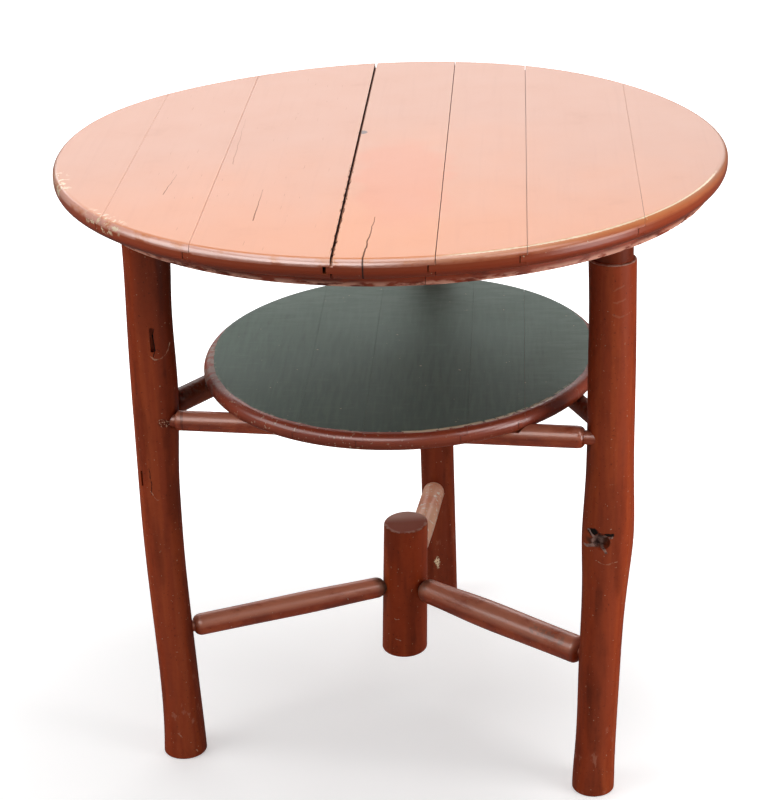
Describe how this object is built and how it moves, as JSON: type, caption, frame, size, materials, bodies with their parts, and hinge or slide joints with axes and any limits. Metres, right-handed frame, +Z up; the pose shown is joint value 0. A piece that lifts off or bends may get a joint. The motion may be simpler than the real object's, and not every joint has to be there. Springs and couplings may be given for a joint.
{
  "type": "rustic round table with a shelf",
  "caption": "Round board-top table on natural poles, with a round lower shelf on rungs and Y-shaped stretchers meeting in a hanging post.",
  "frame": {"origin": "on the floor, under the middle of the table's bounding box, which is within about a millimetre of the middle of the top", "axes": "+Z up, +X the table's right, +Y its rear; the boards' grain runs near Y"},
  "size_m": [0.7621, 0.7614, 0.734],
  "materials": {
    "red_painted_top": "worn glossy red-orange paint, faded by light on top",
    "red_painted_ring": "worn red-brown paint",
    "green_painted_shelf": "worn dark grey-green paint with a red rim",
    "red_painted_pole": "red-brown paint over natural poles",
    "red_painted_stick": "red-brown paint, rubbed pale on the upper side",
    "wood_screw_steel": "dull steel"
  },
  "bodies": {
    "root": {"arm_back": "red_painted_stick", "arm_left": "red_painted_stick", "arm_right": "red_painted_stick", "centre_post": "red_painted_stick", "leg_back": "red_painted_pole", "leg_left": "red_painted_pole", "leg_right": "red_painted_pole", "ring_screws": "wood_screw_steel", "ring_segment_1": "red_painted_ring", "ring_segment_2": "red_painted_ring", "ring_segment_3": "red_painted_ring", "ring_segment_4": "red_painted_ring", "ring_segment_5": "red_painted_ring", "ring_segment_6": "red_painted_ring", "rung_front": "red_painted_stick", "rung_left_back": "red_painted_stick", "rung_right_back": "red_painted_stick", "shelf_board_1": "green_painted_shelf", "shelf_board_2": "green_painted_shelf", "shelf_board_3": "green_painted_shelf", "shelf_board_4": "green_painted_shelf", "shelf_board_5": "green_painted_shelf", "shelf_screws": "wood_screw_steel", "top_board_1": "red_painted_top", "top_board_2": "red_painted_top", "top_board_3": "red_painted_top", "top_board_4": "red_painted_top", "top_board_5": "red_painted_top", "top_board_6": "red_painted_top", "top_board_7": "red_painted_top"}
  },
  "joints": []
}
